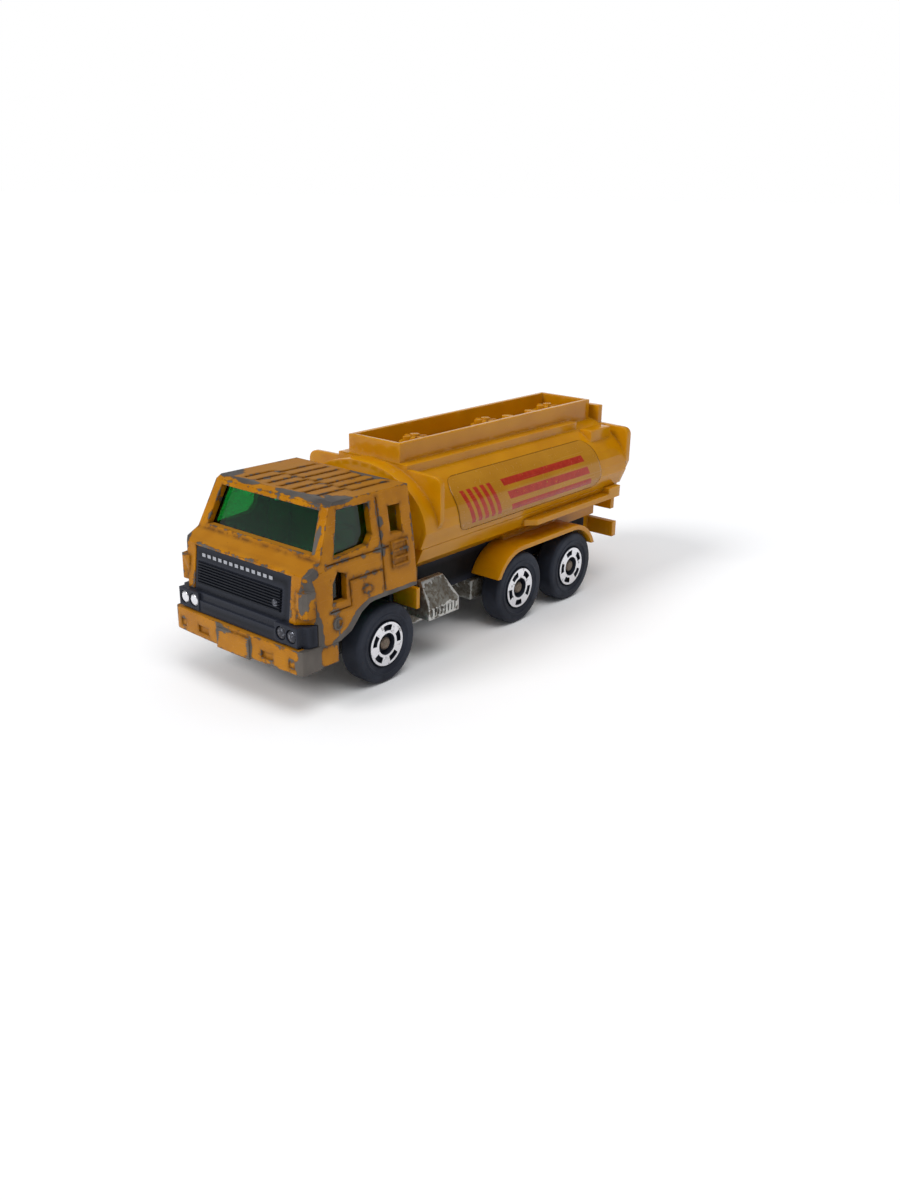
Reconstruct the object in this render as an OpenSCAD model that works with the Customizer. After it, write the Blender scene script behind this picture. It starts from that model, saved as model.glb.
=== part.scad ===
// Pocket-size die-cast toy tanker truck: a painted cab casting, a moulded tank on a
// moulded bed, a bare metal base, and six wheels on three sprung axles.
// Millimetres. +X is the truck's left side, -Y its front, +Z up.
// The origin is on the ground, midway between the bumper's face and the rear end.
// Places along the truck are written as distances behind the bumper's face.

/* [Overall] */
// Length from the bumper's foremost point to the tank's rear end plate
overall_len = 75.6; // [74:0.1:90]
// Width over the cab's sides
cab_w = 25; // [24:0.2:30]
// Height of the cab's roof above the ground
roof_z = 26.6; // [25.6:0.1:31]
// Height of the tank's top rim above the ground
rim_z = 30; // [29.4:0.1:36]

/* [Cab] */
// Length of the cab, from the bumper's face to its rear wall
cab_len = 21.2; // [20.6:0.1:22]
// Thickness of the cab casting
cab_wall = 1.0; // [0.8:0.05:1.2]
// Height of the crease under the side windows
belt_z = 18.7; // [18:0.1:19.4]
// Lean of each cab side from the belt to the roof
side_lean = 1.45; // [1.2:0.05:2.2]
// Height of the windscreen's lower edge
screen_sill_z = 20.4; // [20:0.1:21]
// Depth of the grooves in the roof and doors
groove_depth = 0.22; // [0.1:0.02:0.35]
// Grooves across each half of the roof
roof_grooves = 7; // [4:1:8]

/* [Bumper and grille] */
// Height of the bumper's lower edge
bumper_z = 6.2; // [5.8:0.1:6.8]
// Height of the bumper's upper edge
bumper_top_z = 9.4; // [9:0.1:9.8]
// Half-width of the grille
grille_half_w = 9.3; // [8.6:0.1:9.8]
// Height of the grille's top edge
grille_top_z = 18.2; // [17.6:0.1:18.4]
// Height of the grille's lower edge, where the lamp band begins
lamp_band_z = 12.3; // [12:0.1:12.8]
// Horizontal slats in the grille
slats = 8; // [5:1:10]
// Diameter of each head lamp
lamp_d = 1.6; // [1.1:0.1:1.7]
// Bow of the bumper: how far its middle stands ahead of its ends
bumper_bow = 0.35; // [0.1:0.05:0.5]

/* [Tank] */
// Distance from the cab's rear wall to the tank's front edge
cab_gap = 2.0; // [1.5:0.1:3]
// Half-width of the tank barrel
tank_half_w = 12.3; // [11.8:0.1:13.6]
// Height of the tank barrel's crown
tank_crown_z = 27.4; // [26.8:0.1:28.2]
// Wall of the tank moulding
tank_wall = 0.9; // [0.7:0.05:1.2]
// Half-width of the raised rim along the top
rim_half_w = 4.9; // [4.4:0.1:5.4]
// Filler hatches inside the rim
hatches = 3; // [2:1:4]

/* [Wheels and axles] */
// Diameter of each wheel
wheel_d = 11.16; // [10.6:0.02:11.3]
// Width of each wheel
wheel_w = 3.35; // [3:0.05:3.4]
// Distance from the centre line to a wheel's outer face
wheel_outer_x = 11.97; // [11.8:0.01:12.2]
// Slots in each wheel's rim ring
wheel_slots = 5; // [3:1:8]
// Diameter of the axle rod
axle_d = 1.2; // [1:0.02:1.44]
// Distance from the bumper's face to the front axle
front_axle_y = 15.8; // [15.4:0.1:16.2]
// Distance from the rear axle to the rear end
rear_overhang = 15.7; // [15:0.1:16.5]
// Distance between the two rear axles
axle_spacing = 13.8; // [13:0.1:14.4]
// How far an axle can rise against its spring
axle_travel = 0.4; // [0.2:0.05:0.45]

/* [Fits] */
// Radial clearance of an axle in its wheels and its slots
axle_clear = 0.05; // [0.02:0.01:0.1]
// Clearance between mouldings that sit together
seat_clear = 0.03; // [0.02:0.01:0.1]

/* [Hidden] */
$fn = 48;
eps = 0.01;
long = 100;

axle_r = axle_d / 2;
wheel_r = wheel_d / 2;
axle_z = wheel_r;
plate_proud = 0.25;
nose = bumper_bow + plate_proud;
rear_y = overall_len - nose;
rear_axle_y = rear_y - rear_overhang;
middle_axle_y = rear_axle_y - axle_spacing;
cab_half_w = cab_w / 2;
bumper_half_w = cab_half_w + 0.1;
side_in = cab_half_w - 4.5;
side_reach = cab_half_w + 1.5;

hub_r = 1.5;
hub_depth = 0.95;
wheel_turns = [-5, 31, 14];

// Base, frame and bed levels
base_z = axle_z - 1.08;
base_floor = 1.0;
base_half_w = 7.9;
base_wall = 1.2;
base_top_z = axle_z + 1.92;
base_front_y = 2.6;
base_rear_y = rear_y - 5;
spine_half_w = 5.2;
spine_z = base_z + 1.8;
frame_half_w = 7.0;
frame_wall = 1.3;
frame_z = base_top_z + seat_clear;
frame_pad = 0.6;
bed_z = 12.8;
bed_half_w = 8.2;

// Cab levels
brow_z = belt_z - 0.2;
arch_top_z = 12.75;
screen_foot_y = 4.1;
screen_head_y = 6.8;
roof_edge_z = roof_z - 0.5;
roof_rear_drop = 0.15;
corner_x = cab_half_w - 2.2;
corner_y = 2.9;
pod_z = [13.2, 16.6];
grille_recess = 0.15;
glass_t = 0.65;

// Tank levels
tank_front_y = cab_len + cab_gap;
tank_rear_y = rear_y - 1.2;
waist_z = 19.2;
seam_z = 16.8;
seam_half_w = tank_half_w - 1.0;
rim_wall = 0.75;
walk_half_w = rim_half_w + 1.7;
walk_z = tank_crown_z - 0.1;
trough_z = tank_crown_z - 0.3;
hatch_h = 2.4;

// Mudguards over the two rear axles
guard_half_w = wheel_outer_x + 0.33;
guard_inner_x = frame_half_w + 0.1;
guard_t = 0.75;
guard_reach = wheel_r + axle_travel * 0.4 + 0.1;
guard_rise = wheel_r + axle_travel + 0.15;
guard_foot_z = axle_z + 2.8;

// Rivets
rivet_r = 0.8;
rivet_head_r = 1.3;
rivet_head_t = 0.45;
boss_r = 1.5;
rivet_bite = 2.4;
cab_rivet_y = cab_len - 2.0;
cab_boss_h = 6;
tank_rivet_ys = [tank_front_y + 10.5, rear_axle_y + 6.5];

// Springs
spring_w = 3;
spring_half_len = 1.9;
spring_t = 0.15;
spring_gap = 0.02;

// Labels
label_t = 0.12;
label_y = tank_front_y + 7;
label_len = 36;

// Moves a piece written from the bumper's face into the truck's frame
module along_truck() {
    translate([0, nose - overall_len / 2, 0]) children();
}

// Extrudes an outline of (y, z) points across the truck, over |x| < half
module across(half) {
    rotate([90, 0, 90]) translate([0, 0, -half]) linear_extrude(2 * half) children();
}

// Extrudes an outline of (x, z) points along the truck, from y = a to y = b
module lengthways(a, b) {
    translate([0, b, 0]) rotate([90, 0, 0]) linear_extrude(b - a) children();
}

// A box given by its lowest and highest corners
module block(low, high) {
    translate(low) cube(high - low);
}

// The same box on both sides of the truck
module both_sides() {
    children();
    mirror([1, 0, 0]) children();
}

// ---------------------------------------------------------------- cab

// Outline of the cab from the side, inset by t
module cab_side_outline(t) {
    polygon([
        [0.75 + t, 5], [0.95 + t, lamp_band_z], [1.7 + t, brow_z],
        [screen_foot_y + 1.1 * t, screen_sill_z - 0.5],
        [screen_head_y + 0.88 * t, roof_edge_z - 0.5 * t],
        [screen_head_y + 0.8 + t, roof_z - t],
        [cab_len - t, roof_z - roof_rear_drop - t], [cab_len - t, 5]]);
}

// Outline of the cab from above, inset by t
module cab_plan_outline(t) {
    half = cab_half_w - t;
    polygon([
        [corner_x - 0.4 * t, -1], [corner_x - 0.4 * t, 0.8 + t], [half, corner_y + 0.4 * t],
        [half, cab_len + 1], [-half, cab_len + 1], [-half, corner_y + 0.4 * t],
        [-corner_x + 0.4 * t, 0.8 + t], [-corner_x + 0.4 * t, -1]]);
}

// Outline of the cab from the front, inset by t
module cab_front_outline(t) {
    foot = cab_half_w - t;
    belt = cab_half_w - 0.55 - t;
    head = cab_half_w - 0.55 - side_lean - t;
    polygon([
        [foot, 5], [foot, 13], [belt, belt_z], [head, roof_z + 1],
        [-head, roof_z + 1], [-belt, belt_z], [-foot, 13], [-foot, 5]]);
}

// The cab's closed form, inset by t
module cab_form(t) {
    intersection() {
        across(cab_half_w + 1) cab_side_outline(t);
        translate([0, 0, 4]) linear_extrude(roof_z) cab_plan_outline(t);
        lengthways(-1, cab_len + 1) cab_front_outline(t);
    }
}

// Everything in front of and below the wheel arches and the cab's lower edge
module cab_arch_outline() {
    polygon([
        [-1, 4], [-1, 9.0], [6.7, 9.0], [8.7, 9.8], [9.6, 10.7], [10.6, 11.8],
        [12.1, 12.6], [13, arch_top_z], [cab_len + 1, arch_top_z], [cab_len + 1, 4]]);
}

module side_window_outline() {
    polygon([[6.5, 19.8], [8.0, 25.6], [13.6, 25.4], [13.6, 21.4], [12.6, 20.2]]);
}

module quarter_window_outline() {
    polygon([[17, 20.7], [17, 24.3], [19.2, 24.2], [19.2, 20.5]]);
}

module low_window_outline() {
    polygon([[5.7, 14.3], [5.9, 16.7], [6.9, 18.1], [8.3, 17.5], [8.1, 14.2]]);
}

module windscreen_outline() {
    foot = corner_x - 0.2;
    head = corner_x - 1.0;
    head_z = roof_edge_z - 0.6;
    polygon([[-foot, screen_sill_z], [-head, head_z], [head, head_z], [foot, screen_sill_z]]);
}

// Roof grooves in two blocks, the rear block half a pitch across from the front one
module roof_groove_bars() {
    pitch = 2.3;
    spread = (roof_grooves - 1) / 2;
    for (i = [0 : roof_grooves - 1]) {
        x = (i - spread) * pitch;
        block([x - 0.25, 8.6, roof_z - 2], [x + 0.25, 13.6, roof_z + 1]);
        block([x + pitch / 2 - 0.25, 13.4, roof_z - 2],
              [x + pitch / 2 + 0.25, cab_len - 0.9, roof_z + 1]);
    }
}

// Door shut lines and the crease along the door
module door_line_bars() {
    both_sides() {
        block([side_in, 14.9, 13.7], [side_reach, 15.15, roof_edge_z - 0.3]);
        block([side_in, 8.9, 16.4], [side_reach, 14.9, 16.65]);
        block([side_in, 5.1, 13.1], [side_reach, 8.9, 13.3]);
        block([side_in, 8.7, 13.1], [side_reach, 8.9, 16.65]);
        block([side_in, 5.1, belt_z + 0.4], [side_reach, 16.4, belt_z + 0.6]);
    }
}

// Raised frame of the vent behind each door, with its ribs
module vent_bars() {
    both_sides() {
        for (y = [16.6, 19.5]) block([side_in, y, 16.2], [side_reach, y + 0.35, 19.7]);
        for (z = [16.2, 17.2, 18.2, 19.35]) block([side_in, 16.6, z], [side_reach, 19.85, z + 0.35]);
    }
}

// Squared corner between two heights, from the face round to the side, grown by t
module corner_pod(z_low, z_high, t, wall) {
    half = cab_half_w - 0.05 + t;
    difference() {
        translate([0, 0, z_low]) linear_extrude(z_high - z_low) polygon([
            [corner_x, 1.2 - t], [half - 0.8, 1.1 - t], [half - 0.2, 1.5 - t],
            [half, corner_y - 0.1], [corner_x, corner_y - 0.1]]);
        cab_form(wall);
    }
}

// Raised door handles, corner lamps and filler caps
module cab_side_details() {
    both_sides() {
        translate([cab_half_w - 1, 11.9, 14.6]) rotate([0, 90, 0])
            scale([1, 1.6, 1]) cylinder(r = 0.55, h = 0.97);
        translate([cab_half_w - 1, 6.3, 11.5]) rotate([0, 90, 0]) difference() {
            cylinder(r = 0.85, h = 1.2);
            translate([0, 0, 1.0]) cylinder(r = 0.6, h = 1);
        }
        translate([cab_half_w - 1, 6.3 - 0.1, 11.5 - 0.6]) cube([1.15, 0.2, 1.2]);
        corner_pod(pod_z[0], pod_z[1], 0, cab_wall);
    }
}

// Front bumper with wrapped ends, hollow behind, and the skirt behind each end
module bumper() {
    module bumper_plan(t) {
        half = bumper_half_w - t;
        bow = [for (i = [-4 : 4]) [i / 4 * (half - 0.6), t - bumper_bow * (1 - i * i / 16)]];
        polygon(concat(bow, [
            [half - 0.15, 0.2 + t], [half, 0.7 + t], [half, 3.3 + t],
            [-half, 3.3 + t], [-half, 0.7 + t], [-half + 0.15, 0.2 + t]]));
    }
    difference() {
        translate([0, 0, bumper_z]) linear_extrude(bumper_top_z - bumper_z) bumper_plan(0);
        translate([0, 0, bumper_z - 1]) linear_extrude(bumper_top_z - bumper_z + 0.2)
            intersection() {
                bumper_plan(1.1);
                translate([0, 2.7]) square([2 * bumper_half_w, 3], center = true);
            }
        both_sides() {
            for (x = [5.2, 10.2])
                block([x, -1, 6.9], [x + (x < 6 ? 2.2 : 1), 0.1, 7.9]);
        }
    }
    block([-3.2, -nose, 6.0], [3.2, 0.6, 8.9]);
    both_sides()
        block([bumper_half_w - 1.3, 3, bumper_z], [bumper_half_w - 0.35, 6.6, 9.3]);
}

module cab_casting() {
    color("#c8871e") along_truck() {
        difference() {
            union() {
                difference() {
                    cab_form(0);
                    cab_form(cab_wall);
                    across(long) cab_arch_outline();
                }
                intersection() {
                    difference() {
                        cab_form(-0.25);
                        cab_form(cab_wall / 2);
                    }
                    vent_bars();
                }
                cab_side_details();
                translate([0, cab_rivet_y, arch_top_z]) cylinder(r = boss_r, h = cab_boss_h);
                block([-boss_r, cab_rivet_y, arch_top_z],
                      [boss_r, cab_len - 0.5, arch_top_z + cab_boss_h]);
            }
            lengthways(-1, 9) windscreen_outline();
            both_sides() rotate([90, 0, 90]) translate([0, 0, side_in]) linear_extrude(6) {
                side_window_outline();
                quarter_window_outline();
                low_window_outline();
            }
            block([-grille_half_w, -1, 5], [grille_half_w, 4, grille_top_z]);
            block([-side_reach, -1, 5], [side_reach, corner_y + 0.05, lamp_band_z]);
            intersection() {
                difference() {
                    cab_form(-1);
                    cab_form(groove_depth);
                }
                union() {
                    roof_groove_bars();
                    door_line_bars();
                }
            }
            translate([0, cab_rivet_y, arch_top_z - 1]) cylinder(r = rivet_r, h = rivet_bite + 1.5);
        }
        bumper();
        both_sides()
            block([cab_half_w - 1.2, corner_y + 0.1, 8.9], [cab_half_w - 0.2, 6.6, 9.6]);
    }
}

// Black grille, bezel and lamp band, set just below the cab's face
module grille_insert() {
    front = grille_recess;
    field = 0.55;
    field_z = [lamp_band_z + 0.9, grille_top_z - 2.0];
    slat_pitch = (field_z[1] - field_z[0]) / slats;
    lamp_xs = [corner_x - 1.7, corner_x + 0.2];
    lamp_z = 11;
    band_z = [bumper_top_z + seat_clear, lamp_band_z - seat_clear];
    band_y = 0.35;
    color("#20242e") along_truck() {
        difference() {
            union() {
                intersection() {
                    difference() {
                        cab_form(front);
                        cab_form(front + 1.3);
                    }
                    block([-grille_half_w + seat_clear, 0, band_z[0]],
                          [grille_half_w - seat_clear, 4, grille_top_z - seat_clear]);
                }
                difference() {
                    union() {
                        both_sides() corner_pod(band_z[0], band_z[1], 0, front + 1.3);
                        block([-corner_x - 1, band_y + 0.2, band_z[0]], [corner_x + 1, 1.9, band_z[1]]);
                        block([-grille_half_w + 0.3, band_y - 0.05, band_z[0] + 0.1],
                              [grille_half_w - 0.3, 1.9, 11.2]);
                    }
                    block([-side_reach, corner_y + 0.02, 4], [side_reach, 9, 20]);
                }
                both_sides()
                    block([lamp_xs[0] - 1.1, band_y - 0.2, band_z[0] + 0.3],
                          [lamp_xs[1] + 1.1, 1.9, band_z[1]]);
            }
            intersection() {
                difference() {
                    cab_form(front - 1);
                    cab_form(front + field);
                }
                block([-grille_half_w + 0.5, 0, field_z[0]], [grille_half_w - 1.6, 4, field_z[1]]);
            }
            both_sides() for (x = lamp_xs)
                translate([x, 0.75, lamp_z]) rotate([90, 0, 0]) cylinder(r = lamp_d / 2 + 0.12, h = 2);
        }
        intersection() {
            difference() {
                cab_form(front + 0.1);
                cab_form(front + field + 0.2);
            }
            union() {
                for (i = [0 : slats - 1])
                    block([-grille_half_w + 0.4, 0, field_z[0] + (i + 0.3) * slat_pitch],
                          [grille_half_w - 1.5, 4, field_z[0] + (i + 0.8) * slat_pitch]);
                block([-6.9, 0, field_z[0] - 0.1], [-6.5, 4, field_z[1] + 0.1]);
            }
        }
        both_sides() for (x = lamp_xs)
            translate([x, 1, lamp_z]) rotate([90, 0, 0]) cylinder(r = lamp_d / 2, h = 0.7);
    }
}

// Green glazing: one moulding inside the cab, behind every glazed window
module glazing() {
    outer = cab_wall + seat_clear;
    color("#0d5a46") along_truck() difference() {
        cab_form(outer);
        cab_form(outer + glass_t);
        block([-side_reach, 0, 4], [side_reach, 30, 13.9]);
        block([-side_reach, 15.4, 4], [side_reach, 30, 40]);
        block([-side_reach, 0, 4], [side_reach, 5, grille_top_z + 0.6]);
    }
}

// ---------------------------------------------------------------- base and frame

// Side box of the base, with a leaning face and slots along its lower band
module side_box() {
    y_front = tank_front_y + 0.7;
    box_len = 6.5;
    band_z = 8.5;
    top_z = 12;
    outer_x = guard_half_w;
    box_z = base_top_z - 1;
    slots = 8;
    difference() {
        translate([0, y_front, 0]) rotate([90, 0, 0]) mirror([0, 0, 1])
            linear_extrude(box_len) polygon([
                [base_half_w - base_wall, box_z], [outer_x, box_z], [outer_x, band_z],
                [outer_x - 1.5, top_z], [outer_x - 2.4, top_z], [outer_x - 3.1, 9],
                [frame_half_w + 0.2, 9], [frame_half_w + 0.2, base_top_z],
                [base_half_w - base_wall, base_top_z]]);
        translate([0, y_front + box_len, band_z]) rotate([28, 0, 0]) cube([20, 5, 8]);
        for (i = [0 : slots - 1])
            block([outer_x - 0.3, y_front + 0.6 + i * 0.7, box_z + 0.4],
                  [outer_x + 1, y_front + 0.9 + i * 0.7, band_z - 0.5]);
    }
}

// Hole for a rivet with a recess for its head, from the base's underside up
module rivet_hole() {
    translate([0, 0, -1]) {
        cylinder(r = rivet_r, h = base_top_z - base_z + 2);
        cylinder(r = rivet_head_r + seat_clear, h = rivet_head_t + 1);
    }
}

module chassis_base() {
    waist_ys = [tank_front_y + 7.2, middle_axle_y - wheel_r - 1.4];
    color("#8b8a84") along_truck() {
        difference() {
            union() {
                block([-base_half_w, base_front_y + 1, base_z],
                      [base_half_w, base_rear_y, base_top_z]);
            }
            difference() {
                block([-long, waist_ys[0], 0], [long, waist_ys[1], long]);
                block([-spine_half_w, 0, spine_z], [spine_half_w, long, long]);
            }
            for (ys = [[base_front_y + 2, waist_ys[0] - 1], [waist_ys[1] + 1, base_rear_y - 1]])
                block([-base_half_w + base_wall, ys[0], base_z + base_floor],
                      [base_half_w - base_wall, ys[1], base_top_z + 1]);
            for (y = [front_axle_y, middle_axle_y, rear_axle_y]) {
                translate([-long / 2, y, axle_z]) rotate([0, 90, 0])
                    cylinder(r = axle_r + axle_clear, h = long);
                block([-base_half_w - 1, y - axle_r - axle_clear, axle_z],
                      [base_half_w + 1, y + axle_r + axle_clear, base_top_z + 1]);
            }
            for (y = concat([cab_rivet_y], tank_rivet_ys)) translate([0, y, base_z]) rivet_hole();
        }
        for (y = concat([cab_rivet_y], tank_rivet_ys))
            translate([0, y, base_z]) difference() {
                union() {
                    cylinder(r = rivet_head_r + 0.5, h = base_floor);
                    cylinder(r = rivet_r + 0.5, h = base_top_z - base_z);
                }
                rivet_hole();
            }
        both_sides() side_box();
    }
}

// Black frame: a floor under the cab, then a deep channel under the tank
module frame_rails() {
    axle_ys = [front_axle_y, middle_axle_y, rear_axle_y];
    channel_y = cab_len + 0.4;
    color("#1d2026") along_truck() difference() {
        union() {
            block([-frame_half_w, base_front_y + 1.4, frame_z],
                  [frame_half_w, channel_y + 1, frame_z + frame_pad]);
            block([-frame_half_w, channel_y, frame_z],
                  [frame_half_w, base_rear_y, bed_z - seat_clear]);
            translate([0, cab_rivet_y, frame_z])
                cylinder(r = boss_r, h = arch_top_z - seat_clear - frame_z);
        }
        difference() {
            block([-frame_half_w + frame_wall, channel_y + 1, frame_z + frame_pad],
                  [frame_half_w - frame_wall, base_rear_y - 1, bed_z - 1.2]);
            for (y = tank_rivet_ys) translate([0, y, 4]) cylinder(r = boss_r + 0.4, h = 12);
        }
        for (y = [tank_rivet_ys[0] + 2.6, middle_axle_y + spring_half_len + 1])
            block([-frame_half_w + frame_wall, y, frame_z - 1],
                  [frame_half_w - frame_wall, y + 5, frame_z + frame_pad + eps]);
        for (y = concat([cab_rivet_y], tank_rivet_ys))
            translate([0, y, frame_z - 1]) cylinder(r = rivet_r + seat_clear, h = 9);
    }
}

// Rivets from below, their heads sunk in the base: one into the cab's boss, two into the tank's
module rivets() {
    ys = concat([cab_rivet_y], tank_rivet_ys);
    color("#7d7a72") along_truck() for (i = [0 : 2])
        translate([0, ys[i], base_z]) {
            cylinder(r1 = rivet_head_r - 0.3, r2 = rivet_head_r, h = rivet_head_t);
            cylinder(r = rivet_r - seat_clear, h = arch_top_z + rivet_bite - base_z);
        }
}

// ---------------------------------------------------------------- tank

// Upper half of the tank's section, from the seam on one side to the other, inset by t
module tank_upper_outline(t) {
    half = tank_half_w - t;
    rise = tank_crown_z - waist_z - t;
    crown = [for (a = [0 : 9 : 180]) [half * cos(a), waist_z + rise * sin(a)]];
    polygon(concat(crown, [[-seam_half_w + t, seam_z], [seam_half_w - t, seam_z]]));
}

// Lower part of the tank's section, below the seam, inset by t
module tank_lower_outline(t) {
    polygon([
        [seam_half_w - t, seam_z - seat_clear], [seam_half_w - 1.0 - t, seam_z - 2.2 + t / 2],
        [bed_half_w - 0.4 - t, bed_z + t], [-bed_half_w + 0.4 + t, bed_z + t],
        [-seam_half_w + 1.0 + t, seam_z - 2.2 + t / 2], [-seam_half_w + t, seam_z - seat_clear]]);
}

// End plate that stands proud of the barrel, with rounded shoulders
module end_plate(y, t, half, top, shoulder) {
    lengthways(y, y + t) polygon(concat(
        [[seam_half_w - 0.6, seam_z + 0.1], [half, waist_z + 1.2]],
        [for (a = [0 : 15 : 90])
            [half - shoulder + shoulder * cos(a), top - shoulder + shoulder * sin(a)]],
        [[walk_half_w, top + 0.1], [-walk_half_w, top + 0.1]],
        [for (a = [90 : 15 : 180])
            [-half + shoulder + shoulder * cos(a), top - shoulder + shoulder * sin(a)]],
        [[-half, waist_z + 1.2], [-seam_half_w + 0.6, seam_z + 0.1]]));
}

// Filler hatch: a lid with three lugs round a boss
module hatch() {
    cylinder(r = 2.3, h = 1.3);
    cylinder(r = 0.7, h = hatch_h);
    for (a = [0 : 60 : 300])
        rotate([0, 0, a]) translate([0.4, -0.3, 0]) cube([1.4, 0.6, hatch_h - 0.3]);
}

module tank_shell() {
    dish = 1.0;
    color("#e0a018") along_truck() {
        difference() {
            union() {
                lengthways(tank_front_y, tank_rear_y) tank_upper_outline(0);
                hull() {
                    lengthways(tank_front_y, tank_front_y + eps) tank_upper_outline(0.8);
                    lengthways(tank_front_y - dish, tank_front_y) tank_upper_outline(3.2);
                }
                end_plate(tank_front_y + 2.4, 0.8, tank_half_w + 0.45, 26.6, 1.4);
                end_plate(tank_rear_y, 1.2, tank_half_w - 0.2, 26, 1.2);
                block([-walk_half_w, tank_front_y + 2.4, 24], [walk_half_w, tank_rear_y - 7, walk_z]);
                block([-rim_half_w, tank_front_y + 2.8, 24],
                      [rim_half_w, tank_rear_y - 0.9, rim_z]);
                block([-rim_half_w - 1.3, tank_rear_y, 24], [rim_half_w + 1.3, rear_y, rim_z - 1]);
                both_sides()
                    block([walk_half_w + 0.7, tank_rear_y - 7, 23], [walk_half_w + 2.9, tank_rear_y - 1.2, 26.2]);
            }
            lengthways(tank_front_y + 0.6, tank_rear_y - tank_wall) tank_upper_outline(tank_wall);
            block([-rim_half_w + rim_wall, tank_front_y + 2.8 + rim_wall, trough_z],
                  [rim_half_w - rim_wall, tank_rear_y - 0.9 - rim_wall, rim_z + 1]);
            block([-14, tank_front_y - 3, seam_z - 2], [14, rear_y + 1, seam_z]);
        }
        for (i = [0 : hatches - 1])
            translate([0, tank_front_y + 11.4 + i * 33 / (hatches - 1), trough_z - 0.1]) hatch();
        for (y = [tank_rear_y - 17, tank_rear_y - 11])
            translate([0, y, trough_z - 0.1]) cylinder(r = 0.9, h = hatch_h - 0.5);
        for (y = tank_rivet_ys) translate([0, y, bed_z]) difference() {
            cylinder(r = boss_r, h = trough_z - bed_z - 0.2);
            translate([0, 0, -1]) cylinder(r = rivet_r, h = rivet_bite + 1.2);
        }
    }
}

// Outline of one side's mudguard: an arc over each axle, joined by a flat, grown by t
module guard_outline(t) {
    arc = [for (a = [0 : 9 : 90]) [(guard_reach + t) * cos(a), axle_z + (guard_rise + t) * sin(a)]];
    polygon(concat(
        [[middle_axle_y - guard_reach - t, 0]],
        [for (p = arc) [middle_axle_y - p[0], p[1]]],
        [for (i = [len(arc) - 1 : -1 : 0]) [rear_axle_y + arc[i][0], arc[i][1]]],
        [[rear_axle_y + guard_reach + t, 0]]));
}

module mudguard() {
    translate([guard_inner_x, 0, 0]) rotate([90, 0, 90])
        linear_extrude(guard_half_w - guard_inner_x) difference() {
            guard_outline(guard_t);
            guard_outline(0);
            square([200, guard_foot_z]);
        }
    block([guard_inner_x, middle_axle_y, axle_z + guard_rise],
          [bed_half_w + 0.2, rear_axle_y, bed_z + 0.8]);
}

// Bed: the tank's lower half, both mudguards, side trays and the rear bumper
module tank_bed() {
    bumper_y = rear_y - 2.2;
    tray_y = tank_rear_y - 25;
    color("#e0a018") along_truck() {
        difference() {
            lengthways(tank_front_y + 0.5, tank_rear_y - 0.8) tank_lower_outline(0);
            lengthways(tank_front_y + 1.4, tank_rear_y - 1.7) tank_lower_outline(tank_wall);
            block([-8, tank_front_y + 1.4, bed_z + tank_wall], [8, tank_rear_y - 1.7, seam_z + 2]);
            for (y = tank_rivet_ys)
                translate([0, y, bed_z - 1]) cylinder(r = boss_r + seat_clear, h = 4);
        }
        both_sides() {
            mudguard();
            translate([0, 0, seam_z - 1.9]) linear_extrude(0.9) polygon([
                [seam_half_w - 2.2, tray_y - 1.6], [seam_half_w - 0.2, tray_y - 1.6],
                [tank_half_w + 0.1, tray_y], [tank_half_w + 0.1, tank_rear_y - 1.6],
                [seam_half_w - 2.2, tank_rear_y - 1.6]]);
            block([seam_half_w - 2, tank_rear_y - 5, seam_z - 1.9],
                  [tank_half_w + 0.1, tank_rear_y - 1.6, seam_z - seat_clear]);
            block([4, tank_rear_y - 2, bed_z - 0.4], [11, tank_rear_y - 0.9, bed_z + 1.5]);
            block([guard_inner_x, front_axle_y + 6.4, 8.6], [guard_half_w - 0.8, front_axle_y + 7.1, 11.6]);
            block([guard_inner_x, front_axle_y + 6.4, 11], [guard_inner_x + 1, tank_front_y + 3, bed_z + 0.6]);
        }
        block([-11, bumper_y, 7.3], [11, bumper_y + 1.2, 9.9]);
        block([-6, bumper_y - 1.5, 8], [6, bumper_y + 0.6, bed_z + 0.5]);
    }
}

// ---------------------------------------------------------------- running gear

// Wheel with its axis along +X and its outer face at x = 0, its slots turned by some degrees
module wheel(turn) {
    ring_r = 0.555 * wheel_r;
    groove_w = 0.3;
    slot_mid_r = 0.76 * ring_r;
    round_r = 0.55;
    rotate([turn, 0, 0]) difference() {
        rotate([0, 90, 0]) rotate([0, 0, 90]) rotate_extrude($fn = 96) polygon(concat(
            [[axle_r + axle_clear, -wheel_w], [wheel_r - round_r, -wheel_w]],
            [for (a = [-75 : 15 : 75])
                [wheel_r - round_r + round_r * cos(a),
                 (a < 0 ? -wheel_w + round_r : -round_r) + round_r * sin(a)]],
            [[wheel_r - round_r, 0], [ring_r + groove_w + 0.75, 0], [ring_r + groove_w + 0.65, -0.1],
             [ring_r + groove_w, -0.12], [ring_r + groove_w - 0.05, -0.5], [ring_r, -0.5],
             [ring_r, -0.05], [hub_r + 0.25, -0.05], [hub_r + 0.1, -0.15], [hub_r, -0.15],
             [hub_r, -hub_depth], [axle_r + axle_clear, -hub_depth]]));
        for (i = [0 : wheel_slots - 1])
            rotate([360 / wheel_slots * i, 0, 0])
                translate([-0.45, -0.55, slot_mid_r - 0.33]) cube([1, 1.1, 0.66]);
    }
}

module wheel_at(y, side, turn) {
    color("#2a2d36") along_truck() translate([0, y, axle_z])
        mirror([side < 0 ? 1 : 0, 0, 0]) translate([wheel_outer_x, 0, 0]) wheel(turn);
}

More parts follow.
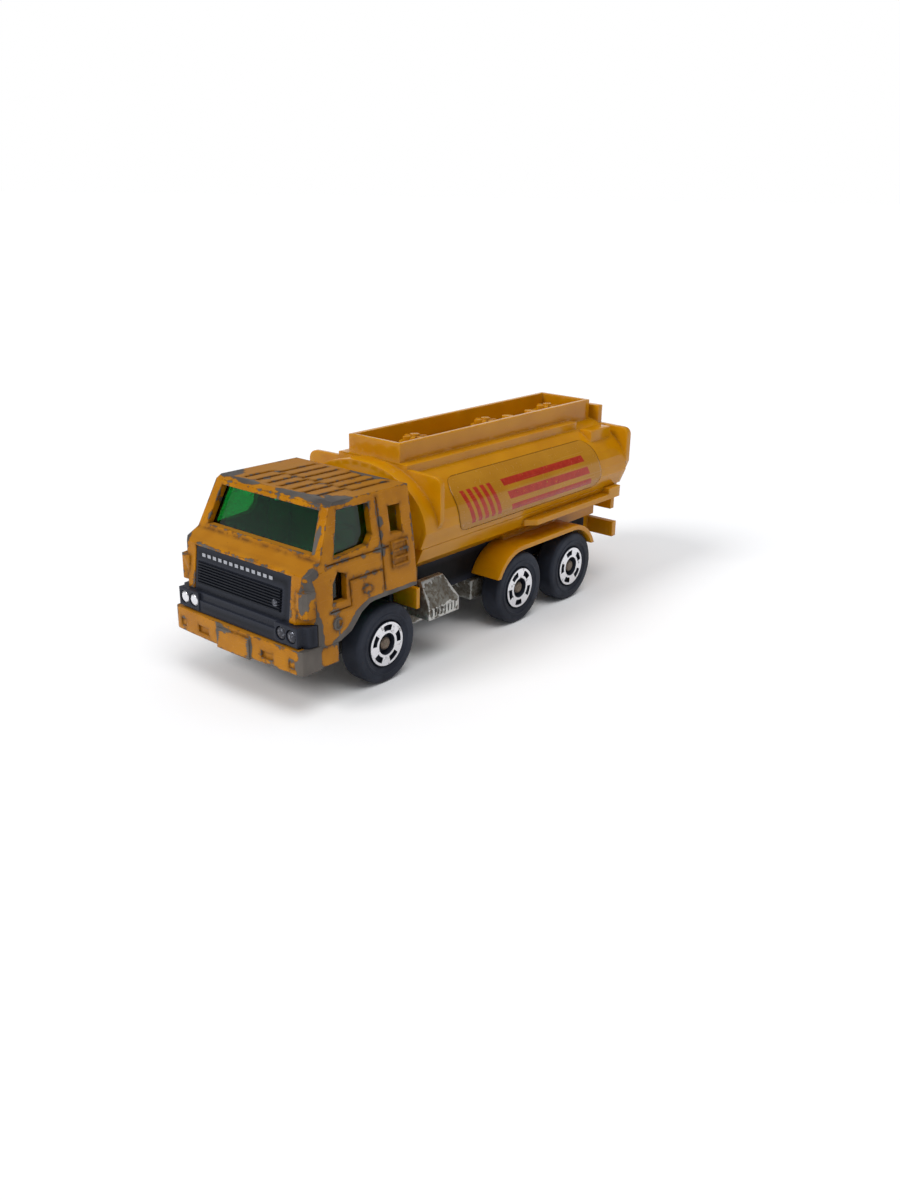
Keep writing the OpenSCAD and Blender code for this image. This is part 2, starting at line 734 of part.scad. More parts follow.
// Axle rod with a flattened head in each wheel's hub
module axle_at(y) {
    head_x = wheel_outer_x - hub_depth + 0.1;
    face_x = wheel_outer_x - 0.2;
    head_r = axle_r + 0.28;
    color("#6d6459") along_truck() translate([0, y, axle_z]) rotate([0, 90, 0])
        rotate_extrude() polygon([
            [0, -face_x], [head_r - 0.2, -face_x], [head_r, -face_x + 0.15],
            [head_r, -head_x], [axle_r, -head_x], [axle_r, head_x], [head_r, head_x],
            [head_r, face_x - 0.15], [head_r - 0.2, face_x], [0, face_x]]);
}

// Bowed leaf spring between an axle and the frame's pad above it
module spring_at(y) {
    foot = axle_z + axle_r + spring_gap;
    rise = frame_z - spring_gap - spring_t - foot;
    arc = [for (i = [-6 : 6])
        [spring_half_len * i / 6, foot + rise * (1 - cos(90 * abs(i) / 6 * 2)) / 2]];
    back = [for (i = [6 : -1 : -6])
        [spring_half_len * i / 6, foot + spring_t + rise * (1 - cos(90 * abs(i) / 6 * 2)) / 2]];
    color("#5c5f63") along_truck() translate([0, y, 0])
        across(spring_w / 2) polygon(concat(arc, back));
}

// Thin label on the tank's flank
module side_label(side) {
    color("#d8a52a") along_truck() mirror([side < 0 ? 1 : 0, 0, 0])
        intersection() {
            difference() {
                lengthways(label_y, label_y + label_len) tank_upper_outline(-label_t);
                lengthways(label_y - 1, label_y + label_len + 1) tank_upper_outline(-seat_clear / 2);
            }
            block([walk_half_w + 1.5, 0, waist_z - 1.6], [20, 100, tank_crown_z]);
        }
}

cab_casting();
grille_insert();
glazing();
chassis_base();
frame_rails();
tank_shell();
tank_bed();
rivets();
axle_at(front_axle_y);  // axle_front
axle_at(middle_axle_y);  // axle_middle
axle_at(rear_axle_y);  // axle_rear
wheel_at(front_axle_y, 1, wheel_turns[0]);  // wheel_front_left
wheel_at(front_axle_y, -1, wheel_turns[0] + 31);  // wheel_front_right
wheel_at(middle_axle_y, 1, wheel_turns[1]);  // wheel_middle_left
wheel_at(middle_axle_y, -1, wheel_turns[1] + 31);  // wheel_middle_right
wheel_at(rear_axle_y, 1, wheel_turns[2]);  // wheel_rear_left
wheel_at(rear_axle_y, -1, wheel_turns[2] + 31);  // wheel_rear_right
spring_at(front_axle_y);  // spring_front
spring_at(middle_axle_y);  // spring_middle
spring_at(rear_axle_y);  // spring_rear
side_label(1);  // side_label_left
side_label(-1);  // side_label_right
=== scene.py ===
"""Looks of a pocket-size die-cast tanker truck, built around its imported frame.

Lengths are metres. +X is the truck's left side, -Y its front, +Z up.
"""

import math

import bmesh
import bpy
import numpy as np
from mathutils import Matrix, Vector
from mathutils.bvhtree import BVHTree
from mathutils.kdtree import KDTree


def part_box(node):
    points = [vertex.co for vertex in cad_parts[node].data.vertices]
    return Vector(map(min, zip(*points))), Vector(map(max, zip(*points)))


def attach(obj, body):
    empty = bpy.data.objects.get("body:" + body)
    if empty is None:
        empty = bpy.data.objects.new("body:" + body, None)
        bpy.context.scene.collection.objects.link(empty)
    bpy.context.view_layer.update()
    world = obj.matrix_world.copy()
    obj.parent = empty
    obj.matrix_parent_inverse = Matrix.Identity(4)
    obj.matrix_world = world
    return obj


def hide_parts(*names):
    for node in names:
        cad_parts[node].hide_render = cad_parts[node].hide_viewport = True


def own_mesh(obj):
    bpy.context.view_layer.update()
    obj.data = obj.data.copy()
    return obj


MM = 0.001
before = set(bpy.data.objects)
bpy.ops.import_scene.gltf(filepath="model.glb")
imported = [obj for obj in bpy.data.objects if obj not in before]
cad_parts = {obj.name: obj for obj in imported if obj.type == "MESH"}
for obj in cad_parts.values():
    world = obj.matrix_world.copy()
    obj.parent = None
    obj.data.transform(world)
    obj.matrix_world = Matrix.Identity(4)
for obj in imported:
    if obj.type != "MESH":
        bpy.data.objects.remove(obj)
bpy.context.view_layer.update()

SOFTEN = 0.07 * MM        # radius on the castings' and mouldings' edges
SHARP_ABOVE = 24          # degrees between faces, past which their edge is softened
MERGE_WITHIN = 0.004 * MM
EDGE_REACH = 1.3 * MM     # how far wear spreads from an edge
CREASE_REACH = 0.7 * MM   # how far the darkening spreads from an inner corner
FINE_SPACING = 0.35 * MM  # between vertices where paint is worn off
FOIL_DEPTH = 0.09 * MM    # how far a wheel's face lies back under its foil
FLOOR_RADIUS = 6.0
SIDES = {"left": 1, "right": -1}
SLOT_TURNS = {"front": 5, "middle": -31, "rear": -14}   # degrees that each foil ring is turned


# ------------------------------------------------------------------ mesh helpers

def mm(*values):
    """A vector given in millimetres."""
    return Vector(values) * MM


def show(name, mesh, material, body, replaces=()):
    """Makes a mesh into a piece that rides on a body."""
    mesh.materials.clear()
    mesh.materials.append(material)
    piece = bpy.data.objects.new(name, mesh)
    bpy.context.scene.collection.objects.link(piece)
    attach(piece, body)
    if replaces:
        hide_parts(*replaces)
    return piece


def mesh_from(bm, name, smooth_below):
    """Ends a bmesh as a mesh that is smooth where faces meet below an angle in degrees."""
    mesh = bpy.data.meshes.new(name)
    bm.to_mesh(mesh)
    bm.free()
    mesh.shade_smooth()
    mesh.set_sharp_from_angle(angle=math.radians(smooth_below))
    return mesh


def share_inside(points, places):
    """1 well inside the places, one half on their borders, and 0 well outside, for each point."""
    points = np.array(points)
    best = np.zeros(len(points))
    for centre, radii in places:
        away = np.linalg.norm((points - np.array(centre) * MM) / (np.array(radii) * MM), axis=1)
        best = np.maximum(best, np.clip(1.5 - away, 0, 1))
    return best


def densify(bm, spacing, places=()):
    """Splits edges that are longer than the spacing, or longer than a finer one at the places."""
    bmesh.ops.triangulate(bm, faces=bm.faces[:])
    for _ in range(9):
        middles = [(e.verts[0].co + e.verts[1].co) / 2 for e in bm.edges]
        limits = np.where(share_inside(middles, places) > 0, FINE_SPACING, spacing)
        long_edges = [e for e, limit in zip(bm.edges[:], limits) if e.calc_length() > limit]
        if not long_edges:
            break
        bmesh.ops.subdivide_edges(bm, edges=long_edges, cuts=1)
        bmesh.ops.triangulate(bm, faces=[f for f in bm.faces if len(f.verts) > 3])


def points_along(edges, step=0.2 * MM):
    """Points spaced evenly along edges."""
    points = []
    for edge in edges:
        a, b = (v.co for v in edge.verts)
        count = max(1, int((b - a).length / step))
        points += [a.lerp(b, (i + 0.5) / count) for i in range(count)]
    return points


def store(mesh, name, values):
    """Stores one value for each vertex."""
    attribute = mesh.attributes.new(name, "FLOAT", "POINT")
    attribute.data.foreach_set("value", np.asarray(values, np.float32))


def nearness(mesh, points, reach):
    """1 at the nearest of the points, falling to 0 at the reach, for each vertex."""
    if not points:
        return [0.0] * len(mesh.vertices)
    tree = KDTree(len(points))
    for i, point in enumerate(points):
        tree.insert(point, i)
    tree.balance()
    return [max(0.0, 1 - tree.find(v.co)[2] / reach) for v in mesh.vertices]


def softened(node, name, spacing, worn=(), soften=SOFTEN):
    """A copy of a CAD node with softened edges, and its wear and its nearness to edges and creases
    stored on its vertices.
    """
    bm = bmesh.new()
    bm.from_mesh(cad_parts[node].data)
    bmesh.ops.remove_doubles(bm, verts=bm.verts[:], dist=MERGE_WITHIN)
    sharp = [e for e in bm.edges
             if len(e.link_faces) == 2 and e.calc_face_angle(0) > math.radians(SHARP_ABOVE)]
    ridges = points_along([e for e in sharp if e.calc_face_angle_signed(0) > 0])
    creases = points_along([e for e in sharp if e.calc_face_angle_signed(0) < 0])
    bmesh.ops.bevel(bm, geom=sharp, offset=soften, offset_type="OFFSET", segments=2, profile=0.5,
                    affect="EDGES", clamp_overlap=False)
    densify(bm, spacing, worn)
    mesh = mesh_from(bm, name, smooth_below=21)
    store(mesh, "edge", nearness(mesh, ridges, EDGE_REACH))
    store(mesh, "crease", nearness(mesh, creases, CREASE_REACH))
    store(mesh, "worn", share_inside([v.co for v in mesh.vertices], worn))
    return mesh


def lathed(profile, centre, side, name, segments=96):
    """Turns (radius, out) points round an axis along X, out being away from the truck's middle."""
    bm = bmesh.new()
    rings = []
    for radius, out in profile:
        rings.append([
            bm.verts.new(centre + Vector((
                side * out, radius * math.sin(math.tau * i / segments),
                radius * math.cos(math.tau * i / segments))))
            for i in range(segments)])
    for inner, outer in zip(rings, rings[1:]):
        for i in range(segments):
            j = (i + 1) % segments
            bm.faces.new((inner[i], inner[j], outer[j], outer[i]))
    for ring in (rings[0], rings[-1]):
        bm.faces.new(ring)
    bmesh.ops.recalc_face_normals(bm, faces=bm.faces[:])
    return mesh_from(bm, name, smooth_below=32)


# ------------------------------------------------------------------ shader helpers

def srgb(red, green, blue):
    """A linear colour from 0 to 255 screen values."""
    def linear(value):
        value /= 255
        return value / 12.92 if value <= 0.04045 else ((value + 0.055) / 1.055) ** 2.4
    return (linear(red), linear(green), linear(blue), 1.0)


class Nodes:
    """Short ways to add and join the nodes of one tree."""

    def __init__(self, tree):
        self.tree = tree

    def add(self, kind, **settings):
        node = self.tree.nodes.new(kind)
        for key, value in settings.items():
            setattr(node, key, value)
        return node

    def feed(self, socket, value):
        if isinstance(value, bpy.types.NodeSocket):
            self.tree.links.new(value, socket)
        else:
            socket.default_value = value

    def math(self, operation, a, b=0.0, clamp=False):
        node = self.add("ShaderNodeMath", operation=operation, use_clamp=clamp)
        self.feed(node.inputs[0], a)
        self.feed(node.inputs[1], b)
        return node.outputs[0]

    def scaled_sum(self, *terms):
        """Adds (value, weight) pairs."""
        total = None
        for value, weight in terms:
            part = self.math("MULTIPLY", value, weight)
            total = part if total is None else self.math("ADD", total, part)
        return total

    def step(self, value, low, high):
        """0 below low, 1 above high, and smooth between."""
        node = self.add("ShaderNodeMapRange", interpolation_type="SMOOTHSTEP")
        self.feed(node.inputs["Value"], value)
        node.inputs["From Min"].default_value = low
        node.inputs["From Max"].default_value = high
        return node.outputs["Result"]

    def mix(self, factor, a, b, mode="MIX"):
        node = self.add("ShaderNodeMix", data_type="RGBA", blend_type=mode)
        self.feed(node.inputs[0], factor)
        self.feed(node.inputs[6], a)
        self.feed(node.inputs[7], b)
        return node.outputs[2]

    def lerp(self, factor, a, b):
        node = self.add("ShaderNodeMix", data_type="FLOAT")
        self.feed(node.inputs[0], factor)
        self.feed(node.inputs[2], a)
        self.feed(node.inputs[3], b)
        return node.outputs[0]

    def place(self, stretch=(1, 1, 1), shift=(0, 0, 0)):
        """Object coordinates in millimetres, stretched."""
        coordinates = self.add("ShaderNodeTexCoord")
        mapping = self.add("ShaderNodeMapping")
        mapping.inputs["Scale"].default_value = [s / MM for s in stretch]
        mapping.inputs["Location"].default_value = shift
        self.tree.links.new(coordinates.outputs["Object"], mapping.inputs["Vector"])
        return mapping.outputs["Vector"]

    def noise(self, scale, detail=3.0, roughness=0.55, stretch=(1, 1, 1), shift=(0, 0, 0)):
        """Noise with a scale in features per millimetre."""
        node = self.add("ShaderNodeTexNoise")
        self.feed(node.inputs["Scale"], scale)
        node.inputs["Detail"].default_value = detail
        node.inputs["Roughness"].default_value = roughness
        self.tree.links.new(self.place(stretch, shift), node.inputs["Vector"])
        return node.outputs["Fac"]

    def attribute(self, name):
        return self.add("ShaderNodeAttribute", attribute_name=name).outputs["Fac"]

    def group(self, tree, **values):
        node = self.add("ShaderNodeGroup", node_tree=tree)
        for key, value in values.items():
            self.feed(node.inputs[key.capitalize()], value)
        return node.outputs

    def bump(self, height, strength, distance):
        node = self.add("ShaderNodeBump")
        node.inputs["Strength"].default_value = strength
        node.inputs["Distance"].default_value = distance
        self.feed(node.inputs["Height"], height)
        return node.outputs["Normal"]


def effect(name, inputs, outputs, build):
    """A shader node group. build takes the nodes and the inputs, and returns the outputs."""
    tree = bpy.data.node_groups.new(name, "ShaderNodeTree")
    for label, default in inputs.items():
        socket = tree.interface.new_socket(label, in_out="INPUT", socket_type="NodeSocketFloat")
        socket.default_value = default
    for label in outputs:
        tree.interface.new_socket(label, in_out="OUTPUT", socket_type="NodeSocketFloat")
    nodes = Nodes(tree)
    source = nodes.add("NodeGroupInput")
    sink = nodes.add("NodeGroupOutput")
    for label, value in build(nodes, source.outputs).items():
        tree.links.new(value, sink.inputs[label])
    return tree


def build_worn_edges(nodes, given):
    fine = nodes.math("SUBTRACT", nodes.noise(given["Grain"], 5, 0.62), 0.5)
    broad = nodes.math("SUBTRACT", nodes.noise(0.45, 2, 0.5, shift=(3, 1, 7)), 0.5)
    edge = nodes.math("MULTIPLY", given["Edge"], given["Reach"])
    ridge = nodes.math("POWER", given["Edge"], 6.0)
    amount = nodes.scaled_sum((edge, 1.0), (ridge, 0.2), (given["Worn"], 1.0),
                              (fine, 1.05), (broad, 0.9))
    mask = nodes.step(amount, 0.49, 0.53)
    rim = nodes.math("SUBTRACT", nodes.step(amount, 0.40, 0.46), mask, clamp=True)
    return {"Mask": mask, "Rim": rim}


# Darker towards inner corners, in patches, with a few dark specks anywhere.
def build_crease_darkening(nodes, given):
    patches = nodes.step(nodes.noise(given["Grain"], 4, 0.6, shift=(11, 5, 2)), 0.36, 0.62)
    depth = nodes.math("POWER", given["Crease"], 1.6)
    lines = nodes.math("MULTIPLY", depth, nodes.lerp(patches, 0.35, 1.0))
    specks = nodes.step(nodes.noise(2.1, 3, 0.7, shift=(4, 9, 1)), 0.66, 0.72)
    amount = nodes.math("MULTIPLY", nodes.math("ADD", lines, nodes.math("MULTIPLY", specks, 0.5)),
                        given["Amount"], clamp=True)
    return {"Mask": amount}


def build_moulded_grain(nodes, given):
    broad = nodes.noise(nodes.math("MULTIPLY", given["Grain"], 0.12), 2, 0.5, shift=(2, 2, 9))
    fine = nodes.noise(given["Grain"], 3, 0.6, shift=(1, 8, 3))
    height = nodes.scaled_sum((broad, 0.8), (fine, 0.2))
    return {"Height": height, "Broad": broad, "Fine": fine}


def build_rubbed_marks(nodes, given):
    along = nodes.noise(1.0, 2, 0.6, stretch=(1.5, 0.12, 3.0), shift=(5, 3, 8))
    across = nodes.noise(1.0, 2, 0.6, stretch=(0.15, 1.8, 2.2), shift=(8, 1, 4))
    lines = nodes.math("MAXIMUM", nodes.step(along, 0.62, 0.66), nodes.step(across, 0.63, 0.67))
    return {"Mask": nodes.math("MULTIPLY", lines, given["Amount"])}


WORN_EDGES = effect("worn_edges", {"Edge": 0, "Worn": 0, "Reach": 0.5, "Grain": 1.3},
                    ("Mask", "Rim"), build_worn_edges)
CREASE_DARKENING = effect("crease_darkening", {"Crease": 0, "Amount": 0.8, "Grain": 0.8},
                     ("Mask",), build_crease_darkening)
MOULDED_GRAIN = effect("moulded_grain", {"Grain": 4}, ("Height", "Broad", "Fine"), build_moulded_grain)
RUBBED_MARKS = effect("rubbed_marks", {"Amount": 0.5}, ("Mask",), build_rubbed_marks)


def new_material(name):
    """A material with only its shader, as (material, nodes, shader)."""
    material = bpy.data.materials.new(name)
    material.use_nodes = True
    nodes = Nodes(material.node_tree)
    return material, nodes, material.node_tree.nodes["Principled BSDF"]


def cab_paint():
    """Ochre enamel, chipped down to grey metal, with dust and a painted pale reflection on top."""
    material, nodes, shader = new_material("cab_paint")
    grain = nodes.group(MOULDED_GRAIN, grain=2.2)
    wear = nodes.group(WORN_EDGES, edge=nodes.attribute("edge"), worn=nodes.attribute("worn"),
                       reach=0.32, grain=1.0)
    darkening = nodes.group(CREASE_DARKENING, crease=nodes.attribute("crease"), amount=0.85, grain=0.7)
    marks = nodes.group(RUBBED_MARKS, amount=0.35)
    normal = nodes.add("ShaderNodeNewGeometry").outputs["Normal"]
    split = nodes.add("ShaderNodeSeparateXYZ")
    nodes.feed(split.inputs[0], normal)
    # Faces turned up are mixed towards a paler, greyer colour: partly dust, partly a painted reflection
    # of the sky on top.
    top = nodes.step(split.outputs["Z"], 0.75, 0.97)
    patchy = nodes.step(grain["Broad"], 0.35, 0.65)
    enamel = nodes.mix(patchy, srgb(168, 106, 3), srgb(182, 118, 5))
    dust_and_sheen = nodes.mix(nodes.lerp(patchy, 0.55, 0.85), enamel, srgb(160, 108, 32))
    coloured = nodes.mix(top, enamel, dust_and_sheen)
    darkened = nodes.mix(darkening["Mask"], coloured, srgb(70, 42, 14))
    rimmed = nodes.mix(nodes.math("MULTIPLY", wear["Rim"], 0.75), darkened, srgb(110, 70, 25))
    metal = nodes.mix(patchy, srgb(84, 79, 75), srgb(102, 96, 90))
    nodes.feed(shader.inputs["Base Color"], nodes.mix(wear["Mask"], rimmed, metal))
    nodes.feed(shader.inputs["Metallic"], nodes.math("MULTIPLY", wear["Mask"], 0.3))
    gloss = nodes.lerp(top, 0.24, 0.5)
    gloss = nodes.lerp(marks["Mask"], gloss, 0.6)
    gloss = nodes.lerp(darkening["Mask"], gloss, 0.8)
    nodes.feed(shader.inputs["Roughness"], nodes.lerp(wear["Mask"], gloss, 0.5))
    height = nodes.scaled_sum((grain["Height"], 0.25), (wear["Mask"], -1.0), (darkening["Mask"], 0.15))
    nodes.feed(shader.inputs["Normal"], nodes.bump(height, 0.55, 0.06 * MM))
    shader.inputs["Specular IOR Level"].default_value = 0.17
    return material


def yellow_plastic():
    """Glossy orange-yellow moulding with rubbed marks, darker in its corners, and a painted highlight
    along its edges.
    """
    material, nodes, shader = new_material("yellow_plastic")
    grain = nodes.group(MOULDED_GRAIN, grain=1.4)
    darkening = nodes.group(CREASE_DARKENING, crease=nodes.attribute("crease"), amount=0.4, grain=0.5)
    marks = nodes.group(RUBBED_MARKS, amount=0.3)
    tone = nodes.mix(nodes.step(grain["Broad"], 0.3, 0.7), srgb(186, 123, 2), srgb(196, 133, 4))
    # The edges are lightened towards a pale yellow: a painted highlight along them.
    pale = nodes.mix(nodes.math("MULTIPLY", nodes.attribute("edge"), 0.22), tone, srgb(212, 150, 24))
    nodes.feed(shader.inputs["Base Color"], nodes.mix(darkening["Mask"], pale, srgb(128, 78, 20)))
    gloss = nodes.lerp(marks["Mask"], 0.18, 0.36)
    nodes.feed(shader.inputs["Roughness"], nodes.lerp(darkening["Mask"], gloss, 0.6))
    nodes.feed(shader.inputs["Normal"], nodes.bump(grain["Height"], 0.25, 0.05 * MM))
    shader.inputs["Specular IOR Level"].default_value = 0.27
    shader.inputs["Subsurface Weight"].default_value = 0.12
    shader.inputs["Subsurface Radius"].default_value = (1.0, 0.45, 0.1)
    shader.inputs["Subsurface Scale"].default_value = 0.8 * MM
    return material


def black_plastic(name, low, high, roughness):
    """Blue-black moulding, satin and a little rubbed, with a painted highlight that lightens its edges.
    """
    material, nodes, shader = new_material(name)
    grain = nodes.group(MOULDED_GRAIN, grain=2.6)
    marks = nodes.group(RUBBED_MARKS, amount=0.5)
    # Edges are lightened towards a pale blue-grey as a painted highlight.
    edge = nodes.math("MULTIPLY", nodes.attribute("edge"), 0.35)
    tone = nodes.mix(nodes.step(grain["Broad"], 0.35, 0.65), low, high)
    nodes.feed(shader.inputs["Base Color"], nodes.mix(edge, tone, srgb(74, 78, 92)))
    gloss = nodes.scaled_sum((grain["Fine"], 0.15), (marks["Mask"], 0.25), (roughness, 1.0))
    nodes.feed(shader.inputs["Roughness"], gloss)
    nodes.feed(shader.inputs["Normal"], nodes.bump(grain["Height"], 0.3, 0.05 * MM))
    shader.inputs["Specular IOR Level"].default_value = 0.12
    return material


def bare_zinc():
    """Weathered die-cast metal with brown staining."""
    material, nodes, shader = new_material("bare_zinc")
    grain = nodes.group(MOULDED_GRAIN, grain=3.2)
    wear = nodes.group(WORN_EDGES, edge=nodes.attribute("edge"), worn=0.0, reach=0.6, grain=1.6)
    darkening = nodes.group(CREASE_DARKENING, crease=nodes.attribute("crease"), amount=0.9, grain=1.1)
    stain = nodes.step(nodes.noise(1.5, 5, 0.7, shift=(6, 2, 2)), 0.42, 0.6)
    cast = nodes.mix(nodes.step(grain["Broad"], 0.35, 0.65), srgb(104, 101, 93), srgb(132, 130, 122))
    stained = nodes.mix(nodes.math("MULTIPLY", stain, 0.7), cast, srgb(78, 64, 46))
    darkened = nodes.mix(darkening["Mask"], stained, srgb(52, 44, 36))
    nodes.feed(shader.inputs["Base Color"], nodes.mix(wear["Mask"], darkened, srgb(182, 182, 178)))
    nodes.feed(shader.inputs["Metallic"], nodes.lerp(wear["Mask"], 0.55, 0.9))
    nodes.feed(shader.inputs["Roughness"], nodes.lerp(wear["Mask"], 0.55, 0.3))
    height = nodes.scaled_sum((grain["Height"], 1.0), (stain, -0.3))
    nodes.feed(shader.inputs["Normal"], nodes.bump(height, 0.8, 0.08 * MM))
    return material


def tarnished_steel(name, low, high):
    """Dull steel of the axles, rivets and springs."""
    material, nodes, shader = new_material(name)
    grain = nodes.group(MOULDED_GRAIN, grain=6)
    tone = nodes.mix(nodes.step(grain["Fine"], 0.38, 0.62), low, high)
    nodes.feed(shader.inputs["Base Color"], tone)
    nodes.feed(shader.inputs["Roughness"], nodes.lerp(grain["Broad"], 0.35, 0.6))
    nodes.feed(shader.inputs["Normal"], nodes.bump(grain["Height"], 0.4, 0.03 * MM))
    shader.inputs["Metallic"].default_value = 0.85
    return material


def green_glazing():
    """Clear dark green moulding with a few specks."""
    material, nodes, shader = new_material("green_glazing")
    specks = nodes.step(nodes.noise(2.4, 3, 0.7), 0.70, 0.76)
    grain = nodes.group(MOULDED_GRAIN, grain=0.8)
    nodes.feed(shader.inputs["Base Color"], nodes.mix(specks, srgb(4, 165, 100), srgb(60, 160, 120)))
    nodes.feed(shader.inputs["Roughness"], nodes.lerp(specks, 0.04, 0.3))
    nodes.feed(shader.inputs["Normal"], nodes.bump(grain["Height"], 0.08, 0.05 * MM))
    shader.inputs["Transmission Weight"].default_value = 1.0
    shader.inputs["Specular IOR Level"].default_value = 0.08
    shader.inputs["IOR"].default_value = 1.4
    return material


def rim_foil():
    """Bright hot-stamped foil, rubbed through in places."""
    material, nodes, shader = new_material("rim_foil")
    rubbed = nodes.step(nodes.noise(1.3, 4, 0.6, shift=(2, 6, 4)), 0.55, 0.72)
    tone = nodes.mix(rubbed, srgb(222, 222, 226), srgb(128, 126, 126))
    nodes.feed(shader.inputs["Base Color"], tone)
    nodes.feed(shader.inputs["Roughness"], nodes.lerp(rubbed, 0.2, 0.45))
    nodes.feed(shader.inputs["Normal"], nodes.bump(nodes.noise(5, 3, 0.6), 0.35, 0.03 * MM))
    shader.inputs["Metallic"].default_value = 1.0
    return material


def lamp_silver(name, low, high, worn_at):
    """Silver paint on a lamp, worn to black plastic where the noise is above a level."""
    material, nodes, shader = new_material(name)
    rubbed = nodes.step(nodes.noise(2.8, 4, 0.6, shift=(1, 1, 5)), worn_at, worn_at + 0.05)
    nodes.feed(shader.inputs["Base Color"], nodes.mix(rubbed, high, low))
    nodes.feed(shader.inputs["Roughness"], nodes.lerp(rubbed, 0.25, 0.45))
    nodes.feed(shader.inputs["Metallic"], nodes.lerp(rubbed, 0.85, 0.1))
    nodes.feed(shader.inputs["Normal"], nodes.bump(nodes.noise(4, 2, 0.5), 0.3, 0.03 * MM))
    return material


def label_film():
    """Aged clear film with plain red stripes, a fine dark border and worn patches."""
    material, nodes, shader = new_material("label_film")
    grain = nodes.group(MOULDED_GRAIN, grain=1.0)
    marks = nodes.group(RUBBED_MARKS, amount=0.7)
    along, up = nodes.attribute("along"), nodes.attribute("up")

    def band(value, low, high):
        """1 where a value in millimetres lies between two others."""
        soft = 0.05
        return nodes.math("MULTIPLY", nodes.step(value, low - soft, low + soft),
                          nodes.math("SUBTRACT", 1.0, nodes.step(value, high - soft, high + soft)))

    slanted = nodes.scaled_sum((along, 1.0), (up, 0.3))
    repeat = nodes.math("FRACT", nodes.math("MULTIPLY", slanted, 1 / 1.5))
    short_bars = nodes.math("MULTIPLY", band(repeat, 0.1, 0.68),
                            nodes.math("MULTIPLY", band(slanted, 3.15, 10.4), band(up, 0.9, 5.4)))
    long_bars = nodes.math("MULTIPLY", band(slanted, 12.5, 33.5), nodes.math(
        "MAXIMUM", band(up, 0.9, 1.8), nodes.math("MAXIMUM", band(up, 2.6, 3.7), band(up, 4.5, 5.4))))
    worn_print = nodes.step(nodes.noise(1.6, 4, 0.7, shift=(7, 7, 1)), 0.30, 0.36)
    printed = nodes.math("MULTIPLY", nodes.math("MAXIMUM", short_bars, long_bars), worn_print)
    film = nodes.mix(nodes.step(grain["Broad"], 0.35, 0.65), srgb(170, 115, 18), srgb(180, 125, 24))
    ink = nodes.mix(nodes.step(grain["Fine"], 0.3, 0.7), srgb(160, 38, 20), srgb(174, 50, 28))
    border = nodes.math("SUBTRACT", 1.0, nodes.step(nodes.attribute("rim_gap"), 0.06, 0.14))
    coloured = nodes.mix(nodes.math("MULTIPLY", border, 0.6), nodes.mix(printed, film, ink),
                         srgb(80, 54, 18))
    nodes.feed(shader.inputs["Base Color"], coloured)
    shader.inputs["Specular IOR Level"].default_value = 0.35
    nodes.feed(shader.inputs["Roughness"], nodes.lerp(marks["Mask"], 0.2, 0.38))
    nodes.feed(shader.inputs["Normal"], nodes.bump(grain["Height"], 0.2, 0.04 * MM))
    return material


# ------------------------------------------------------------------ geometry nodes

def geometry_tree(name, inputs):
    """An empty geometry tree with named inputs, given as (label, kind, default)."""
    tree = bpy.data.node_groups.new(name, "GeometryNodeTree")
    tree.interface.new_socket("Geometry", in_out="INPUT", socket_type="NodeSocketGeometry")
    for label, kind, default in inputs:
        socket = tree.interface.new_socket(label, in_out="INPUT", socket_type="NodeSocket" + kind)
        if default is not None:
            socket.default_value = default
    tree.interface.new_socket("Geometry", in_out="OUTPUT", socket_type="NodeSocketGeometry")
    nodes = Nodes(tree)
    return tree, nodes, nodes.add("NodeGroupInput").outputs, nodes.add("NodeGroupOutput").inputs


def end_tree(nodes, geometry, given, sink):
    """Ends a geometry tree in Realize Instances and Set Material."""
    realize = nodes.add("GeometryNodeRealizeInstances")
    finish = nodes.add("GeometryNodeSetMaterial")
    nodes.feed(realize.inputs["Geometry"], geometry)
    nodes.feed(finish.inputs["Geometry"], realize.outputs["Geometry"])
    nodes.feed(finish.inputs["Material"], given["Material"])
    nodes.feed(sink["Geometry"], finish.outputs["Geometry"])


def bar_row_tree():
    """A row of equal bars."""
    tree, nodes, given, sink = geometry_tree("bar_row", [
        ("Count", "Int", 8), ("First", "Vector", (0, 0, 0)), ("Step", "Vector", (0, 0, 0.001)),
        ("Size", "Vector", (0.001, 0.001, 0.001)), ("Material", "Material", None)])
    line = nodes.add("GeometryNodeMeshLine")
    bar = nodes.add("GeometryNodeMeshCube")
    spread = nodes.add("GeometryNodeInstanceOnPoints")
    nodes.feed(line.inputs["Count"], given["Count"])
    nodes.feed(line.inputs["Start Location"], given["First"])
    nodes.feed(line.inputs["Offset"], given["Step"])
    nodes.feed(bar.inputs["Size"], given["Size"])
    nodes.feed(spread.inputs["Points"], line.outputs["Mesh"])
    nodes.feed(spread.inputs["Instance"], bar.outputs["Mesh"])
    end_tree(nodes, spread.outputs["Instances"], given, sink)
    return tree


